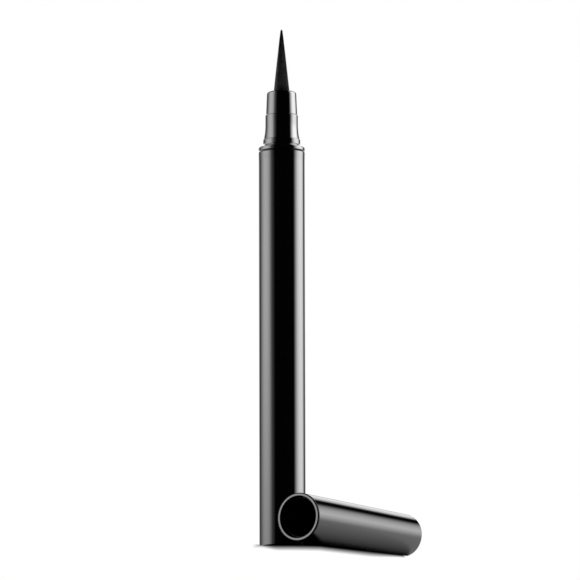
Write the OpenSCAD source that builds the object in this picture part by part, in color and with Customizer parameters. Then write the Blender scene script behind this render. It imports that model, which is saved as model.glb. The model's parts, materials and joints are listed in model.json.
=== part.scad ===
// Liquid eyeliner pen with a brush tip. The pen stands on its base with its cap taken off,
// and the cap lies on its side next to the barrel. Lengths are in millimetres.
// The pen's axis is Z, its base is at Z 0, and the cap lies along X with its mouth towards -X.

/* [Barrel] */
// Outer diameter of the barrel
barrel_d = 10.5; // [9.5:0.1:12]
// Length of the barrel from its base to the parting line
barrel_len = 90.1; // [80:0.1:110]
// Wall of the barrel's outer sleeve
barrel_wall = 0.7; // [0.5:0.05:0.8]
// How far the rim at the open end stands out from the barrel's side
rim_rise = 0.03; // [0.01:0.01:0.1]
// Height over which the barrel swells into that rim
rim_h = 2.4; // [1:0.1:4]
// Radius of the rounded edge round the base
base_edge = 0.4; // [0.1:0.05:0.45]

/* [Tail plug and ink tank] */
// Thickness of the tail plug's head, flush with the base
plug_head_t = 1.6; // [1:0.1:3]
// Length of the tail plug's spigot inside the tank
plug_spigot_len = 7; // [5:0.5:10]
// Wall of the ink tank
tank_wall = 0.55; // [0.4:0.05:0.65]
// Diameter of a mixing ball
ball_d = 3; // [2:0.1:3.2]
// Thickness of the cord of both sealing rings
seal_cord_d = 0.8; // [0.6:0.05:1]

/* [Collector and feed] */
// Thickness of the bung between the ink and the collector
bung_t = 3; // [2:0.5:5]
// Length of the collector comb
comb_len = 24; // [16:1:30]
// Diameter of the comb's core
comb_core_d = 3.6; // [3.3:0.1:4.4]
// Thickness of one fin
fin_t = 0.35; // [0.25:0.05:0.45]
// Distance from one fin to the next
fin_pitch = 0.8; // [0.65:0.05:1.2]
// Width of the slit that carries ink along the comb
slit_w = 0.25; // [0.15:0.05:0.5]
// Width of the notch that lets air back past the fins
vent_w = 1.1; // [0.6:0.1:1.6]
// Diameter of the fibre feed core
core_d = 1.6; // [1.2:0.1:1.8]
// Wall of the feed pipe round the front of the core
pipe_wall = 0.35; // [0.25:0.05:0.4]

/* [Front section] */
// Length of the section's spigot inside the tank
spigot_len = 6; // [5:0.5:8]
// Length of the register that centres the section in the barrel
register_len = 2.4; // [1.5:0.1:4]
// Height of the dark parting groove above the barrel's rim
parting_h = 0.28; // [0.16:0.02:0.5]
// Depth of that groove below the barrel's side
parting_depth = 0.6; // [0.3:0.02:0.62]
// Height of the shoulder above the groove, up to the bead
shoulder_h = 1.44; // [1.3:0.02:2]
// Radius of the shoulder's rounded edge
shoulder_edge = 0.42; // [0.2:0.02:0.6]
// Diameter of the bead that the cap clicks over
bead_d = 8.48; // [8.2:0.02:8.6]
// Height of the bead
bead_h = 1.3; // [1.1:0.1:2.6]
// Diameter of the section at the top of its flare
neck_d = 7.45; // [7.2:0.05:7.8]
// Height of the concave flare between the bead and the neck
flare_h = 3.9; // [2:0.1:4.5]
// Height of the straight neck above the flare
neck_h = 1.65; // [0.8:0.05:3]

/* [Nib holder] */
// Diameter at the foot of the holder's visible head
head_foot_d = 7.16; // [6.8:0.02:7.16]
// Diameter at the top of the head, before its rounded edge
head_top_d = 6.7; // [6.3:0.05:6.8]
// Height of the visible head
head_h = 5.47; // [4:0.01:7]
// Radius of the head's rounded top edge
head_edge = 0.75; // [0.3:0.05:0.9]
// Diameter of the holder's tail inside the section
holder_tail_d = 6.1; // [5.6:0.1:6.2]
// Length of that tail
holder_tail_len = 7.4; // [5.5:0.1:8]

/* [Brush] */
// Diameter of the bristle bundle where it leaves the holder
brush_d = 3.9; // [3:0.1:4.1]
// Length of the bristles outside the holder
brush_len = 14.43; // [8:0.01:18]
// Width left at the brush's point
brush_point_d = 0.38; // [0.2:0.02:0.6]
// Thickness of the fused slice that the bristles grow from
root_t = 0.9; // [0.5:0.1:1.5]
// Wall of the ferrule round the bristle roots
ferrule_wall = 0.2; // [0.1:0.02:0.25]
// Length of the ferrule
ferrule_len = 6.4; // [4:0.1:8]

/* [Cap] */
// Outer diameter of the cap at its mouth
cap_mouth_d = 10.9; // [10.6:0.02:11.4]
// Outer diameter of the cap at its closed end
cap_end_d = 9.8; // [9.7:0.02:10.6]
// Length of the cap
cap_len = 45.4; // [42:0.2:55]
// Thickness of the cap's closed end
cap_end_t = 1.2; // [0.8:0.1:2]
// Radius of the rounded edge round the closed end
cap_end_edge = 0.4; // [0.2:0.05:0.8]
// Radius of the rounded outer edge of the mouth
cap_lip_edge = 0.26; // [0.08:0.02:0.3]
// Diameter of the wide bore just inside the mouth
cap_mouth_bore_d = 9.42; // [9.34:0.02:9.7]
// Depth of that wide bore, which takes in the pen's shoulder
cap_mouth_bore_h = 1.1; // [0.8:0.1:1.6]
// Diameter of the bore that holds the liner
liner_bore_d = 9.24; // [9.1:0.02:9.3]

/* [Inside the cap] */
// Length of the cap liner
liner_len = 29.9; // [26:0.1:32]
// Diameter of the liner's front bore, which slides over the bead
grip_bore_d = 8.56; // [8.5:0.02:8.7]
// Height of the small ring in that bore that clicks behind the bead
click_rise = 0.07; // [0.02:0.01:0.1]
// Outer diameter of the inner cap
inner_cap_d = 7.9; // [7.8:0.02:8]
// Inner diameter of the inner cap over the nib holder
inner_cap_bore_d = 7.22; // [7.18:0.01:7.3]
// Inner diameter of the inner cap round the brush's point
inner_cap_end_bore_d = 5.9; // [4:0.1:6.4]
// How far the inner cap's mouth lies inside the cap's mouth
inner_cap_depth = 7.1; // [6:0.1:8]
// Thickness of the inner cap's closed end
inner_cap_end_t = 1.4; // [0.8:0.1:1.6]
// Diameter of the flange that stops the inner cap behind the liner
stop_d = 8.7; // [8.4:0.05:8.7]
// Thickness of that flange
stop_t = 0.7; // [0.5:0.1:1]
// Diameter of the spring's wire
wire_d = 0.5; // [0.4:0.02:0.55]
// Outer diameter of the spring
spring_d = 6.8; // [6:0.1:8]

/* [Arrangement] */
// Gap between the barrel and the cap lying next to it
cap_side_gap = 0.3; // [0.3:0.05:2]
// How far the cap's mouth reaches past the pen's axis
cap_ahead = 10.65; // [6:0.05:20]

/* [Hidden] */

// Sides of a turned shape, and steps along a rounded edge
turned_sides = 64;
edge_steps = 6;
flare_steps = 10;
// How sharply the flare bends out at its foot
flare_bend = 2.5;
// Radial gap of a push fit, of a sliding fit, and of the fins to the tank
push_gap = 0.02;
slide_gap = 0.05;
fin_gap = 0.06;
// Small chamfer that breaks a moulded edge, and how far a cut runs past the face it opens
soft_edge = 0.12;
overrun = 0.5;

// Barrel and tank
barrel_r = barrel_d / 2;
barrel_bore_r = barrel_r - barrel_wall;
rim_r = barrel_r + rim_rise;
tank_r = barrel_bore_r - push_gap;
tank_bore_r = tank_r - tank_wall;
tank_z0 = plug_head_t;
tank_z1 = barrel_len - register_len;
plug_top = plug_head_t + plug_spigot_len;
spigot_r = tank_bore_r - push_gap;
seal_mean_r = tank_bore_r - seal_cord_d / 2 - push_gap / 2;
groove_r = seal_mean_r - seal_cord_d / 2 - push_gap;
groove_h = seal_cord_d + 2 * push_gap;
plug_groove_z = plug_head_t + plug_spigot_len / 2;
ball_r = ball_d / 2;
ball_gap = slide_gap;
ball_x = ball_r + 4 * slide_gap;

// Collector, from the front section's spigot down to the bung
section_z0 = tank_z1 - spigot_len;
comb_z0 = section_z0 - comb_len;
bung_z0 = comb_z0 - bung_t;
core_r = core_d / 2;
core_hole_r = core_r + slide_gap;
pipe_r = core_hole_r + pipe_wall;
pipe_hole_r = pipe_r + push_gap;
comb_core_r = comb_core_d / 2;
comb_foot_t = 2 * fin_t;
boss_len = 3;
boss_r = pipe_r + pipe_wall + push_gap;
fin_r = tank_bore_r - fin_gap;
fin_count = floor((comb_len - comb_foot_t - boss_len) / fin_pitch);
funnel_rise = core_r / 2;

// Front section
section_groove_z = section_z0 + spigot_len / 2;
register_r = barrel_bore_r - push_gap;
parting_r = barrel_r - parting_depth;
shoulder_z0 = barrel_len + parting_h;
shoulder_z1 = shoulder_z0 + shoulder_h;
bead_r = bead_d / 2;
bead_edge = bead_h / 6;
bead_turn = 60;
bead_z1 = shoulder_z1 + bead_h;
// The shoulder's side, its rounded edge, and its slope up to the bead's foot
bead_foot_r = bead_r - bead_edge * (1 - cos(bead_turn));
shoulder_slope = 30;
shoulder_turn = 90 - shoulder_slope;
slope_foot_r = rim_r - shoulder_edge * (1 - cos(shoulder_turn));
slope_foot_z = shoulder_z1 - (slope_foot_r - bead_foot_r) * tan(shoulder_slope);
shoulder_edge_z = slope_foot_z - shoulder_edge * sin(shoulder_turn);
neck_r = neck_d / 2;
flare_foot_z = bead_z1 - bead_edge * (1 - sin(bead_turn));
flare_z1 = bead_z1 + flare_h;
section_z1 = flare_z1 + neck_h;
shelf_z = section_z1 - holder_tail_len;
holder_tail_r = holder_tail_d / 2;

// Nib holder, ferrule and brush
head_foot_r = head_foot_d / 2;
head_top_r = head_top_d / 2;
holder_z1 = section_z1 + head_h;
brush_r = brush_d / 2;
mouth_gap = 2 * slide_gap;
mouth_r = brush_r + mouth_gap;
mouth_lip_h = 2 * soft_edge;
root_drop = 0.3;
root_z1 = holder_z1 - root_drop;
root_z0 = root_z1 - root_t;
root_r = brush_r;
ferrule_hole_r = brush_r + push_gap;
ferrule_r = ferrule_hole_r + ferrule_wall;
ferrule_z1 = holder_z1 - head_edge;
ferrule_z0 = ferrule_z1 - ferrule_len;
crimp_share = 0.3;
crimp_h = 0.5;
point_z = holder_z1 + brush_len;
core_z1 = root_z0 - push_gap;
pipe_z0 = section_z0 - boss_len + push_gap;
pipe_z1 = core_z1 - core_r;

// Bristles: rings of the lattice, share of its cell that a strand fills, and how much shorter
// the shortest strand of the outermost ring is
brush_rings = 8;
strand_fill_share = 0.86;
strand_drop_share = 0.26;

// Cap, in its own frame: its mouth is at 0 and its closed end at cap_len
cap_mouth_r = cap_mouth_d / 2;
cap_end_r = cap_end_d / 2;
cap_tilt = atan((cap_mouth_r - cap_end_r) / cap_len);
cap_axis_z = cap_mouth_r * cos(cap_tilt);
cap_near_r = cap_mouth_r - cap_ahead * tan(cap_tilt);
lip_chamfer = 0.05;
cap_line_y = rim_r + cap_side_gap + cap_near_r;
mouth_bore_r = cap_mouth_bore_d / 2;
liner_bore_r = liner_bore_d / 2;
liner_r = liner_bore_r - push_gap;
liner_z0 = cap_mouth_bore_h;
liner_z1 = liner_z0 + liner_len;
stop_r = stop_d / 2;
spring_bore_r = stop_r + slide_gap;
cap_floor = cap_len - cap_end_t;
grip_r = grip_bore_d / 2;
inner_cap_r = inner_cap_d / 2;
guide_r = inner_cap_r + slide_gap;
click_r = grip_r - click_rise;
click_h = 8 * click_rise;
grip_depth = inner_cap_depth - soft_edge;
inner_bore_r = inner_cap_bore_d / 2;
inner_end_r = inner_cap_end_bore_d / 2;
inner_stop_z0 = liner_z1 + push_gap;
inner_stop_z1 = inner_stop_z0 + stop_t;
inner_floor = inner_stop_z1 - inner_cap_end_t;
inner_taper_z = (inner_cap_depth + inner_floor) / 2;
wire_r = wire_d / 2;
coil_r = spring_d / 2 - wire_r;
centring_r = coil_r - wire_r - 3 * slide_gap;
centring_h = 2 * stop_t;
spring_z0 = inner_stop_z1 + wire_r + push_gap;
spring_z1 = cap_floor - wire_r - push_gap;
coil_turns = 7;
curl_rings = 8;
wire_sides = 6;

// Points along an elliptical edge about (x, y), from angle a0 to angle a1
function edge_arc(x, y, rx, ry, a0, a1) =
    [for (i = [0:edge_steps]) let (a = a0 + (a1 - a0) * i / edge_steps) [x + rx * cos(a), y + ry * sin(a)]];

// A solid turned about Z from its half outline
module turned(outline) {
    rotate_extrude($fn = turned_sides) polygon(outline);
}

// A tube about Z with softened ends
module sleeve(r_out, r_in, z0, z1, edge) {
    turned([[r_in, z0], [r_out - edge, z0], [r_out, z0 + edge], [r_out, z1 - edge],
        [r_out - edge, z1], [r_in, z1]]);
}

// A sealing ring at height z
module seal_ring(z) {
    translate([0, 0, z]) rotate_extrude($fn = turned_sides)
        translate([seal_mean_r, 0]) circle(r = seal_cord_d / 2, $fn = 24);
}

// Puts a shape made about Z, mouth at 0, where the cap lies. The cap's taper tips its axis
// down a little, so that its side lies on the ground from mouth to end.
module in_cap() {
    translate([-cap_ahead, -cap_line_y, cap_axis_z]) rotate([0, 90 + cap_tilt, 0]) children();
}

module barrel_sleeve() {
    color([0.02, 0.02, 0.022])
    turned(concat(
        [[barrel_bore_r, 0]],
        edge_arc(barrel_r - base_edge, base_edge, base_edge, base_edge, -90, 0),
        [for (i = [0:edge_steps]) let (s = i / edge_steps)
            [barrel_r + rim_rise * s * s * (3 - 2 * s), barrel_len - rim_h + (rim_h - soft_edge) * s]],
        [[rim_r - soft_edge, barrel_len], [barrel_bore_r, barrel_len]]));
}

module tail_plug() {
    color([0.03, 0.03, 0.033])
    turned([
        [0, 0], [barrel_bore_r - push_gap - soft_edge, 0], [barrel_bore_r - push_gap, soft_edge],
        [barrel_bore_r - push_gap, plug_head_t], [spigot_r, plug_head_t],
        [spigot_r, plug_groove_z - groove_h / 2], [groove_r, plug_groove_z - groove_h / 2],
        [groove_r, plug_groove_z + groove_h / 2], [spigot_r, plug_groove_z + groove_h / 2],
        [spigot_r, plug_top - 2 * soft_edge], [spigot_r - 2 * soft_edge, plug_top], [0, plug_top]]);
}

module tail_seal() {
    color([0.1, 0.1, 0.1]) seal_ring(plug_groove_z);
}

module ink_tank() {
    color([0.75, 0.77, 0.78])
    sleeve(tank_r, tank_bore_r, tank_z0, tank_z1, soft_edge);
}

// A steel ball resting on the tail plug, to one side of the axis
module mixing_ball(side) {
    color([0.7, 0.71, 0.73])
    translate([side * ball_x, 0, plug_top + ball_gap + ball_r]) sphere(r = ball_r, $fn = 48);
}

module mixing_ball_a() mixing_ball(-1);
module mixing_ball_b() mixing_ball(1);

module tank_bung() {
    color([0.85, 0.85, 0.83])
    turned([
        [core_hole_r + funnel_rise, bung_z0], [spigot_r - 2 * soft_edge, bung_z0],
        [spigot_r, bung_z0 + 2 * soft_edge], [spigot_r, comb_z0], [core_hole_r, comb_z0],
        [core_hole_r, bung_z0 + funnel_rise]]);
}

// The comb holds back ink in the gaps between its fins when the tank warms up
module collector_comb() {
    fins = [for (i = [0:fin_count - 1]) let (z = comb_z0 + comb_foot_t + i * fin_pitch + (fin_pitch - fin_t))
        each [[comb_core_r, z], [fin_r, z], [fin_r, z + fin_t], [comb_core_r, z + fin_t]]];
    boss_z0 = section_z0 - boss_len;
    color([0.8, 0.8, 0.79])
    difference() {
        turned(concat(
            [[core_hole_r, comb_z0], [spigot_r, comb_z0], [spigot_r, comb_z0 + comb_foot_t],
                [comb_core_r, comb_z0 + comb_foot_t]],
            fins,
            [[comb_core_r, boss_z0], [max(comb_core_r, boss_r), boss_z0],
                [max(comb_core_r, boss_r), section_z0], [pipe_hole_r, section_z0], [pipe_hole_r, boss_z0],
                [core_hole_r, boss_z0]]));
        translate([0, -slit_w / 2, comb_z0 + comb_foot_t])
            cube([fin_r + overrun, slit_w, boss_z0 - comb_z0 - comb_foot_t]);
        translate([-fin_r - overrun, -vent_w / 2, comb_z0 - overrun])
            cube([fin_r - comb_core_r, vent_w, comb_len + overrun]);
    }
}

module feed_core() {
    color([0.92, 0.92, 0.9])
    turned([
        [0, bung_z0], [core_r, bung_z0], [core_r, core_z1 - core_r],
        [core_r / 2, core_z1], [0, core_z1]]);
}

module feed_pipe() {
    color([0.78, 0.8, 0.82])
    sleeve(pipe_r, core_hole_r, pipe_z0, pipe_z1, soft_edge);
}

// The turned collar that closes the barrel: a spigot and a register inside the barrel, then the
// parting groove, the shoulder, the bead, the concave flare and the neck
module front_section() {
    color([0.03, 0.03, 0.033])
    turned(concat(
        [[pipe_hole_r, section_z0], [spigot_r - soft_edge, section_z0], [spigot_r, section_z0 + soft_edge],
            [spigot_r, section_groove_z - groove_h / 2], [groove_r, section_groove_z - groove_h / 2],
            [groove_r, section_groove_z + groove_h / 2], [spigot_r, section_groove_z + groove_h / 2],
            [spigot_r, tank_z1], [register_r, tank_z1], [register_r, barrel_len],
            [parting_r, barrel_len], [parting_r, shoulder_z0]],
        [[rim_r - soft_edge, shoulder_z0], [rim_r, shoulder_z0 + soft_edge]],
        edge_arc(rim_r - shoulder_edge, shoulder_edge_z, shoulder_edge, shoulder_edge, 0, shoulder_turn),
        edge_arc(bead_r - bead_edge, shoulder_z1 + bead_edge * sin(bead_turn), bead_edge, bead_edge,
            -bead_turn, 0),
        edge_arc(bead_r - bead_edge, bead_z1 - bead_edge, bead_edge, bead_edge, 0, bead_turn),
        [for (i = [1:flare_steps]) let (s = i / flare_steps)
            [neck_r + (bead_foot_r - neck_r) * pow(1 - s, flare_bend),
                flare_foot_z + (flare_z1 - flare_foot_z) * s]],
        [[neck_r, section_z1 - soft_edge], [neck_r - soft_edge, section_z1],
            [holder_tail_r + push_gap, section_z1], [holder_tail_r + push_gap, shelf_z],
            [pipe_hole_r, shelf_z]]));
}

module section_seal() {
    color([0.1, 0.1, 0.1]) seal_ring(section_groove_z);
}

module nib_holder() {
    foot_z = section_z1 + soft_edge;
    tail_z = shelf_z;
    color([0.03, 0.03, 0.033])
    turned(concat(
        [[ferrule_r + push_gap, tail_z], [holder_tail_r - soft_edge, tail_z],
            [holder_tail_r, tail_z + soft_edge], [holder_tail_r, section_z1],
            [head_foot_r - soft_edge, section_z1], [head_foot_r, foot_z]],
        edge_arc(head_top_r - head_edge, holder_z1 - head_edge, head_edge, head_edge, 0, 90),
        [[mouth_r + mouth_lip_h, holder_z1], [mouth_r, holder_z1 - mouth_lip_h], [mouth_r, ferrule_z1],
            [ferrule_r + push_gap, ferrule_z1]]));
}

// The bush behind the ferrule, which also centres the feed pipe
module brush_retainer() {
    color([0.8, 0.8, 0.79])
    sleeve(ferrule_r, pipe_hole_r, shelf_z, ferrule_z0, soft_edge);
}

// The crimped tube round the bristle roots
module brush_ferrule() {
    crimp_z = (ferrule_z0 + root_z0) / 2;
    crimp = ferrule_wall * crimp_share;
    color([0.6, 0.6, 0.62])
    turned([
        [ferrule_hole_r, ferrule_z0], [ferrule_r, ferrule_z0], [ferrule_r, crimp_z - crimp_h],
        [ferrule_r - crimp, crimp_z], [ferrule_r, crimp_z + crimp_h], [ferrule_r, ferrule_z1],
        [ferrule_hole_r, ferrule_z1], [ferrule_hole_r, crimp_z + crimp_h],
        [ferrule_hole_r - crimp, crimp_z], [ferrule_hole_r, crimp_z - crimp_h]]);
}

// The bristles stand on a lattice of rings. Each cell of the lattice carries one three-sided
// strand, and all strands lean towards one point above the brush, so that none crosses another.
module brush_tip() {
    n = brush_rings;
    reach = point_z - root_z1;
    lean_h = reach * brush_r / (brush_r - brush_point_d / 2);
    function ring_start(k) = k == 0 ? 0 : 1 + 3 * k * (k - 1);
    function lattice(k, j) = k == 0 ? 0 : ring_start(k) + j % (6 * k);
    lattice_points = [for (k = [0:n], j = [0:max(0, 6 * k - 1)])
        let (a = k == 0 ? 0 : 60 * j / k) [root_r * k / n * cos(a), root_r * k / n * sin(a), root_z1]];
    cells = [for (k = [1:n], s = [0:5], j = [0:k - 1]) each concat(
        [[lattice(k - 1, s * (k - 1) + j), lattice(k, s * k + j), lattice(k, s * k + j + 1), k]],
        j > 0 ? [[lattice(k - 1, s * (k - 1) + j - 1), lattice(k, s * k + j),
            lattice(k - 1, s * (k - 1) + j), k]] : [])];
    middles = [for (c = cells) (lattice_points[c[0]] + lattice_points[c[1]] + lattice_points[c[2]]) / 3];
    // Strands end at heights spread evenly over the drop, with the spread growing outwards
    tops = [for (i = [0:len(cells) - 1]) let (
        spread = (i * 0.618034) % 1,
        h = reach * (1 - strand_drop_share * spread * cells[i][3] / n),
        lean = 1 - h / lean_h)
        [middles[i][0] * lean, middles[i][1] * lean, root_z1 + h]];
    feet = [for (i = [0:len(cells) - 1], v = [0:2])
        middles[i] + (lattice_points[cells[i][v]] - middles[i]) * strand_fill_share];
    rim_count = 6 * n;
    floor_points = concat([[0, 0, root_z0]],
        [for (j = [0:rim_count - 1]) let (a = 60 * j / n) [root_r * cos(a), root_r * sin(a), root_z0]]);
    foot0 = len(lattice_points);
    top0 = foot0 + len(feet);
    floor0 = top0 + len(tops);
    strand_faces = [for (i = [0:len(cells) - 1], v = [0:2]) let (
        w = (v + 1) % 3, a = foot0 + 3 * i + v, b = foot0 + 3 * i + w) each [
        [b, a, top0 + i],
        [cells[i][v], a, b],
        [cells[i][v], b, cells[i][w]]]];
    root_faces = [for (j = [0:rim_count - 1]) let (
        w = (j + 1) % rim_count, a = floor0 + 1 + j, b = floor0 + 1 + w) each [
        [floor0, a, b],
        [a, lattice(n, j), lattice(n, w)],
        [a, lattice(n, w), b]]];
    color([0.03, 0.03, 0.03])
    polyhedron(points = concat(lattice_points, feet, tops, floor_points),
        faces = concat(strand_faces, root_faces));
}

// The cap's outer shell: a slender cone, closed and rounded at the far end, with a flat
// bright lip round the mouth
module cap_shell() {
    cone_r = function (z) cap_mouth_r - z * tan(cap_tilt);
    color([0.02, 0.02, 0.022])
    in_cap() turned(concat(
        [[mouth_bore_r + lip_chamfer, 0]],
        edge_arc(cap_mouth_r - cap_lip_edge, cap_lip_edge, cap_lip_edge, cap_lip_edge, -90, 0),
        edge_arc(cone_r(cap_len) - cap_end_edge, cap_len - cap_end_edge, cap_end_edge, cap_end_edge, 0, 90),
        [[0, cap_len], [0, cap_floor], [spring_bore_r, cap_floor], [spring_bore_r, liner_z1],
            [liner_bore_r, liner_z1], [liner_bore_r, cap_mouth_bore_h], [mouth_bore_r, cap_mouth_bore_h],
            [mouth_bore_r, lip_chamfer]]));
}

// The liner grips the bead with its front bore and guides the inner cap behind that
module cap_liner() {
    color([0.04, 0.04, 0.042])
    in_cap() turned([
        [grip_r, liner_z0], [liner_r - soft_edge, liner_z0], [liner_r, liner_z0 + soft_edge],
        [liner_r, liner_z1], [guide_r, liner_z1],
        [guide_r, grip_depth], [grip_r, grip_depth],
        [grip_r, liner_z0 + 2 * click_h], [click_r, liner_z0 + 1.5 * click_h],
        [click_r, liner_z0 + click_h]]);
}

// The sprung cup that seals round the nib holder when the cap is on
module inner_cap() {
    color([0.05, 0.05, 0.052])
    in_cap() turned([
        [inner_bore_r + soft_edge, inner_cap_depth], [inner_cap_r - soft_edge, inner_cap_depth],
        [inner_cap_r, inner_cap_depth + soft_edge], [inner_cap_r, inner_stop_z0], [stop_r, inner_stop_z0],
        [stop_r, inner_stop_z1], [centring_r, inner_stop_z1],
        [centring_r - soft_edge, inner_stop_z1 + centring_h], [0, inner_stop_z1 + centring_h],
        [0, inner_floor], [inner_end_r, inner_floor],
        [inner_bore_r, inner_taper_z], [inner_bore_r, inner_cap_depth + soft_edge]]);
}

// The spring is one unbroken tube along a helix, with open ends
module cap_spring() {
    rise = (spring_z1 - spring_z0) / coil_turns;
    lead = atan(rise / (2 * PI * coil_r));
    ring_total = coil_turns * curl_rings;
    middle = function (i) let (a = 360 * i / curl_rings)
        [coil_r * cos(a), coil_r * sin(a), spring_z0 + rise * i / curl_rings];
    wire_points = [for (i = [0:ring_total], j = [0:wire_sides - 1]) let (
        a = 360 * i / curl_rings,
        f = 360 * j / wire_sides,
        across = [cos(a), sin(a), 0],
        up = [sin(a) * sin(lead), -cos(a) * sin(lead), cos(lead)])
        middle(i) + wire_r * (cos(f) * across + sin(f) * up)];
    side_faces = [for (i = [0:ring_total - 1], j = [0:wire_sides - 1]) let (
        k = (j + 1) % wire_sides, a = i * wire_sides, b = a + wire_sides) each [
        [a + j, b + j, b + k],
        [a + j, b + k, a + k]]];
    last = ring_total * wire_sides;
    end_faces = [for (j = [1:wire_sides - 2]) each [[0, j, j + 1], [last, last + j + 1, last + j]]];
    gaps = [for (i = [0:ring_total - curl_rings]) norm(middle(i + curl_rings) - middle(i)) - wire_d];
    echo(least_gap_between_coils = min(gaps));
    color([0.7, 0.71, 0.73])
    in_cap() polyhedron(points = wire_points, faces = concat(side_faces, end_faces));
}

barrel_sleeve();
tail_plug();
tail_seal();
ink_tank();
mixing_ball_a();
mixing_ball_b();
tank_bung();
collector_comb();
feed_core();
feed_pipe();
front_section();
section_seal();
nib_holder();
brush_retainer();
brush_ferrule();
brush_tip();
cap_shell();
cap_liner();
inner_cap();
cap_spring();
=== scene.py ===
"""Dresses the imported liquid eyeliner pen: lacquer, collar, bristles, sprung cap and studio.

The pen stands on its base along Z and the cap lies beside it, along X, with its mouth towards -X.
Outlines are written in millimetres and turned into meshes in metres.
"""

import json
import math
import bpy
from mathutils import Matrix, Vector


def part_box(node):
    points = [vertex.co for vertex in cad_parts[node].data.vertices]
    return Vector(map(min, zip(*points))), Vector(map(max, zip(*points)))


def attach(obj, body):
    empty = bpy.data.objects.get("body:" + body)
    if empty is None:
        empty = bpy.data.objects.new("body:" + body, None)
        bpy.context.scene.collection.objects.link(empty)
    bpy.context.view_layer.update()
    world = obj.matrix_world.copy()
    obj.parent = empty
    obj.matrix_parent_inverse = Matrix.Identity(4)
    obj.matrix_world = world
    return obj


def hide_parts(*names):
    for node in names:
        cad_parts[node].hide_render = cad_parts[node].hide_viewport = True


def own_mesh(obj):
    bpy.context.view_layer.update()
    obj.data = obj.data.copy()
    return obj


bl_info = {
    "name": "Liquid Eyeliner Pen",
    "version": (1, 0, 0),
    "blender": (4, 5, 0),
    "location": "3D View > Sidebar > Eyeliner Pen",
    "description": "Builds the gloss pen, its bristles and its sprung cap round the CAD frame",
    "category": "Object",
}

import bmesh
import bpy
from bpy.props import FloatProperty, FloatVectorProperty, IntProperty, PointerProperty
from mathutils import Matrix, Quaternion, Vector

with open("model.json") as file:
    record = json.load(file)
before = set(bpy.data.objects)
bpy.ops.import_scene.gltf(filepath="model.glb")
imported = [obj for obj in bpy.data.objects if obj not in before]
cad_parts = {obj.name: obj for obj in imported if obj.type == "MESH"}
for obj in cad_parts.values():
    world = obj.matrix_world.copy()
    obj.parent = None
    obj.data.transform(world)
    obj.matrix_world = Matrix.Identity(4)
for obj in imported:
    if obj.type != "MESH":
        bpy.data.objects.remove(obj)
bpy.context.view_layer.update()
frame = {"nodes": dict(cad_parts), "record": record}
MM = 0.001
IMAGE_PX = 580
SENSOR_MM = 36
# The range that most of a noise lies in.
NOISE_SPAN = (0.3, 0.7)
# Radius below which a point counts as on its axis, in millimetres.
ON_AXIS = 1e-9
# Where the floor's light starts in reflections (on the floor itself, a painted reflection glow):
# distance behind the pen for that to its side.
FLOOR_IN = (-0.9, -0.1)


def cad_width(node, axis=0):
    """Width of a CAD node along X, Y or Z, in millimetres."""
    low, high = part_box(node)
    return (high[axis] - low[axis]) / MM


def cad_height(node, top=True):
    """Height of a CAD node's top or foot above the pen's base, in millimetres."""
    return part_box(node)[1 if top else 0].z / MM


def mount(name):
    """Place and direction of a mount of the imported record."""
    found = next(m for m in frame["record"]["mounts"] if m["name"] == name)
    return Vector(found["pos_m"]), Vector(found["axis"]).normalized()


# Sizes and colours.


def length(name, description, default):
    """A size in millimetres, kept in metres."""
    return FloatProperty(
        name=name, description=description, default=default * MM, min=0, unit="LENGTH", precision=5
    )


def colour(name, description, default):
    """A surface colour."""
    return FloatVectorProperty(
        name=name, description=description, default=default, size=3, min=0, max=1, subtype="COLOR"
    )


def tilt(name, description, degrees):
    """An angle in degrees, kept in radians."""
    return FloatProperty(
        name=name, description=description, default=math.radians(degrees), subtype="ANGLE"
    )


def amount(name, description, default, high=100):
    """A plain number."""
    return FloatProperty(name=name, description=description, default=default, min=0, max=high)


def whole(name, description, default, low=0):
    """A whole number."""
    return IntProperty(name=name, description=description, default=default, min=low)


class PenSizes(bpy.types.PropertyGroup):
    """Sizes of the barrel, the collar and the nib holder."""

    turned_sides: whole("Turned sides", "Flats round a turned piece", 144, 48)
    barrel_diameter: length("Barrel diameter", "Outer diameter of the barrel", 10.5)
    barrel_wall: length("Barrel wall", "Wall of the outer sleeve", 0.7)
    base_edge: length("Base edge", "Radius of the rounded edge round the base", 0.4)
    rim_rise: length("Rim rise", "How far the open rim stands out from the side", 0.03)
    rim_height: length("Rim height", "Height over which the barrel swells into its rim", 2.4)
    groove_height: length("Parting groove", "Height of the dark groove above the rim", 0.28)
    groove_depth: length("Groove depth", "Depth of the parting groove", 0.6)
    shoulder_height: length("Shoulder height", "Height from the groove to the bead", 1.44)
    shoulder_edge: length("Shoulder edge", "Radius of the shoulder's rounded edge", 0.42)
    bead_diameter: length("Bead diameter", "Diameter of the bead that the cap grips", 8.48)
    bead_height: length("Bead height", "Height of the bead", 1.3)
    neck_diameter: length("Neck diameter", "Diameter above the flare", 7.45)
    flare_height: length("Flare height", "Height of the concave flare", 3.9)
    head_top_diameter: length("Holder top", "Diameter at the top of the nib holder", 6.7)
    head_edge: length("Holder edge", "Radius of the holder's rounded top edge", 0.75)
    brush_mouth: length("Brush mouth", "Diameter of the holder's mouth round the bristles", 4.1)


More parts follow.
